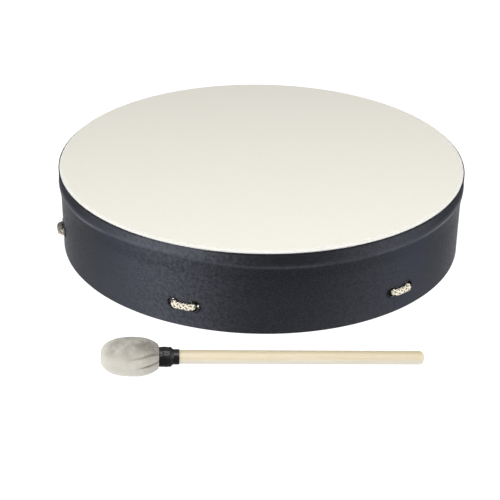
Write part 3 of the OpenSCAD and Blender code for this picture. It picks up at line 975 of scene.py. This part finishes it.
def braided_polyester(add, place):
    fuzz = add("TexNoise", sized(place, FUZZ, 3))
    soil = add("TexNoise", sized(place, SOIL, 3))
    clean = add("MapRange", {"Value": soil, **span(0.3, 0.6)})
    left_stitch_shade = add("MapRange", {"Value": add("SeparateXYZ", {"Vector": place}, "X"), **LEFT_STITCH_SHADE})
    tracer, painted_shade_and_highlight = [add("Attribute", output="Fac", attribute_name=name) for name in ("tracer", "painted_shade_and_highlight")]
    rough = add("MapRange", {"Value": fuzz, **span(0, 1, 0.55, 0.85)})
    bump = add("Bump", {"Height": fuzz, "Strength": 0.3, "Distance": 0.1 * MM})
    tones = [(clean, "#ece4cf"), (fuzz, "#f4eedd"), (left_stitch_shade, "#5f574b"), (tracer, "#4d3d2b"),
             (painted_shade_and_highlight, "#14110d")]
    return "#d3c7a9", tones, {"Roughness": rough, "Normal": bump}


finish(ropes, "braided_polyester", braided_polyester, IOR=1.45, Sheen_Weight=0.25, Sheen_Roughness=0.5)

# %% [markdown]
# ## Finishes that run along the mallet
# Wood grain, the nap of the suede and the crepe of the tape follow the mallet's axis. A Mapping node turns
# the shared coordinates back to that axis: its Z is the distance from the tip, and its -X points up.

# %% Coordinates along the mallet
to_axis = mallet_place.inverted()


def along_mallet(add, place):
    """Coordinates about the mallet's own axis."""
    return add("Mapping", {"Vector": place, "Location": to_axis.translation, "Rotation": to_axis.to_euler()})


# %% [markdown]
# ## Maple handle
# The handle is pale maple, turned and waxed. Maple has a close straight grain with few pores, so it gives
# the eye a warm even cream with faint lines along it and a soft shine. It is a little browner towards the
# butt, where it is handled. Its top is painted browner, as painted shade, and its underside paler, as
# painted light. Rings of a whole trunk could be cut to the dowel, but on 12 mm they only show as lines, so
# a noise drawn out along the axis makes them.

# %% Finish of the handle
GRAIN, PORE = 1.6, 0.5
GRAIN_WAY = {"Scale": (1, 1, 0.03), "Rotation": (0.02, 0.03, 0)}
PORES = span(0.62, 0.75, 0, 0.3)
TO_BUTT = span(80 * MM, 280 * MM, 0, 0.5)
# Painted shade on the top of the handle, and painted light under it
TOP_SHADE = span(-3.5 * MM, -6 * MM, 0, 0.3)
UNDER_LIGHT = span(-2.2 * MM, 1.2 * MM, 0, 0.6)


def maple(add, place):
    axis = along_mallet(add, place)
    drawn = add("Mapping", {"Vector": axis, **GRAIN_WAY})
    grain = add("TexNoise", sized(drawn, GRAIN, 4))
    pores = add("TexNoise", sized(drawn, PORE, 2))
    down = add("SeparateXYZ", {"Vector": axis}, "X")
    along = add("SeparateXYZ", {"Vector": axis}, "Z")
    late = add("MapRange", {"Value": grain, **span(*NOISE)})
    tones = [(late, "#dcd1bb")]
    for value, part, tone in ((along, TO_BUTT, "#c3b89a"), (down, TOP_SHADE, "#b8a886"),
                              (down, UNDER_LIGHT, "#dcdad4"), (pores, PORES, "#b99c6c")):
        tones.append((add("MapRange", {"Value": value, **part}), tone))
    rough = add("MapRange", {"Value": grain, **span(0, 1, 0.4, 0.6)})
    bump = add("Bump", {"Height": pores, "Strength": 0.1, "Distance": 0.1 * MM})
    return "#d3c4a3", tones, {"Roughness": rough, "Normal": bump}


finish([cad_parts["mallet_handle"]], "waxed_maple", maple, IOR=1.48, Coat_Weight=0.1,
       Coat_Roughness=0.35)

# %% [markdown]
# ## Suede
# The cover is grey suede, buffed to a short nap that scatters light. Its upper side is painted darker, as
# painted shade, and so are its creases and the part towards the neck, with specks of painted shade near the
# neck on the upper side. Hairs could make a real nap, but from a step away they only soften the light, so a
# sheen and a fine noise stand for them.

# %% Finish of the cover
NAP, NAP_PATCH, SHADE_SPECK = 1.6, 12.0, 2.8
# Painted shade: the upper side, the part towards the neck, specks near the neck and the creases are painted
# darker
UPPER = span(0, -16 * MM)
PATCHED = span(0.25, 0.65, 0, 0.95)
NECK_SHADE = span(30 * MM, 53 * MM, 0, 0.44)
SPECKS = span(0.42, 0.6, 0, 1.5)
CREASE_SHADE = span(0, 1.4, 0, 0.75)


def suede(add, place):
    axis = along_mallet(add, place)
    # The real nap is about half a millimetre: it is drawn three times as coarse, so that it shows
    nap = add("TexNoise", {**sized(axis, NAP, 4), "Roughness": 0.7})
    patch = add("TexNoise", sized(axis, NAP_PATCH, 4))
    spots = add("TexNoise", sized(axis, SHADE_SPECK, 2))
    upper = add("MapRange", {"Value": add("SeparateXYZ", {"Vector": axis}, "X"), **UPPER}, **SOFT)
    # Painted shade on the upper side, broken into patches
    laid = add("Math", {0: upper, 1: add("MapRange", {"Value": patch, **PATCHED})}, **TIMES)
    # Painted shade towards the neck, with specks of painted shade near the neck on the upper side
    neck_shade = add("MapRange", {"Value": add("SeparateXYZ", {"Vector": axis}, "Z"), **NECK_SHADE}, **SOFT)
    upper_neck_shade = add("Math", {0: neck_shade, 1: upper}, **TIMES)
    speckled_shade = add("Math", {0: upper_neck_shade, 1: add("MapRange", {"Value": spots, **SPECKS})}, **TIMES)
    crease = add("Attribute", output="Fac", attribute_name="crease")
    # Painted shade in the creases, deeper where the fold is deeper
    crease_shade = add("MapRange", {"Value": crease, **CREASE_SHADE})
    bump = add("Bump", {"Height": nap, "Strength": 0.5, "Distance": 0.25 * MM})
    tones = [(nap, "#d2cfc6"), (laid, "#807c73"), (neck_shade, "#726d64"), (speckled_shade, "#4a453d"),
             (crease_shade, "#625d53")]
    return "#a5a197", tones, {"Normal": bump}


finish([cover], "buffed_suede", suede, IOR=1.4, Roughness=0.95, Specular_IOR_Level=0.2, Sheen_Weight=0.25,
       Sheen_Roughness=0.6)

# %% [markdown]
# ## Cloth tape and felt
# The tape is black cloth with a fine crepe under a dull rubber coat, so it shines only on its creases. The
# felt of the core is pressed wool. It is hidden in the cover, but it gets its finish too. Neither shows
# more than one grain, so each is one noise.

# %% Finish of the tape and of the core
CREPE, WOOL = 0.7, 1.5


def crepe_tape(add, place):
    crepe = add("TexNoise", sized(along_mallet(add, place), CREPE, 3))
    rough = add("MapRange", {"Value": crepe, **span(0, 1, 0.2, 0.5)})
    bump = add("Bump", {"Height": crepe, "Strength": 0.3, "Distance": 0.15 * MM})
    return "#131314", [(crepe, "#272627")], {"Roughness": rough, "Normal": bump}


def felt(add, place):
    wool = add("TexNoise", sized(along_mallet(add, place), WOOL, 5))
    return "#c9c3b3", [(wool, "#e4dfd1")], {}


finish([tape], "black_cloth_tape", crepe_tape, IOR=1.5, Specular_IOR_Level=0.4)
finish([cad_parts["mallet_core"]], "pressed_felt", felt, IOR=1.4, Roughness=1.0)

# %% [markdown]
# ## Studio
# The drum stands on a plain white table that glows, as a light table does, so that no shadow shows. The
# table isn't mirrored in the pieces, because its glow would drown the sheen of the shell. A wide light
# overhead lights the head, and a soft low light at the front left and a weaker one at the front right draw
# a broad sheen on the two sides of the dark shell. The room glows behind the drum and is dark in front of
# it, which leaves the middle of the shell dark. A stronger glow, low behind the drum, is mirrored only at
# grazing angles and makes the two outlines pale.

# %% Floor
FLOOR_SIZE, FLOOR_DROP = 60, 0.3 * MM
bpy.ops.mesh.primitive_plane_add(size=FLOOR_SIZE, location=(0, 0, -FLOOR_DROP))
floor = bpy.context.object
floor.name = "floor"
floor.visible_glossy = False
finish([floor], "white_table", Roughness=0.9, Specular_IOR_Level=0.1, Base_Color=linear("#8a8a8a"),
       Emission_Color=linear("#ffffff"), Emission_Strength=1.0)

# %% Lights
# A light has a name, a place, the place it shines at, a width, a depth and a power in watts
LIGHTS = [
    ("overhead", (0.05, -0.6, 1.25), (0, -0.1, 0.08), 1.1, 0.7, 13.5),
    ("front_left", (-1.36, -0.82, 0.24), (0, -0.05, 0.06), 0.7, 0.5, 15),
    ("front_right", (1.42, -0.7, 0.38), (0, -0.05, 0.06), 0.7, 0.5, 12),
]
for name, place, target, width, depth, power in LIGHTS:
    aim = (Vector(target) - Vector(place)).to_track_quat("-Z", "Y").to_euler()
    bpy.ops.object.light_add(type="AREA", location=place, rotation=aim)
    light = bpy.context.object
    light.name = name
    light.visible_camera = False
    light.data.shape = "RECTANGLE"
    light.data.size, light.data.size_y = width, depth
    light.data.energy = power
print("lights:", ", ".join(row[0] for row in LIGHTS))

# %% Room
ROOM_GLOW = span(-0.6, 0.9, 0.01, 0.6)
BACK_GLOW = span(0.62, 0.86, 0, 1.25)
LOW_GLOW = span(-0.1, -0.3)
world = bpy.data.worlds.new("studio")
world.use_nodes = True
add = partial(node, world.node_tree)
background = world.node_tree.nodes["Background"].inputs
background["Color"].default_value = linear("#ffffff")
way = add("TexCoord", output="Generated")
to_back = add("SeparateXYZ", {"Vector": way}, "Y")
to_low = add("SeparateXYZ", {"Vector": way}, "Z")
back = add("MapRange", {"Value": to_back, **BACK_GLOW}, **SOFT)
strip = add("Math", {0: back, 1: add("MapRange", {"Value": to_low, **LOW_GLOW}, **SOFT)}, **TIMES)
strength = add("Math", {0: add("MapRange", {"Value": to_back, **ROOM_GLOW}), 1: strip}, operation="ADD")
world.node_tree.links.new(strength, background["Strength"])
bpy.context.scene.world = world
bpy.context.scene.view_settings.view_transform = "Standard"
print("room glows behind the drum")
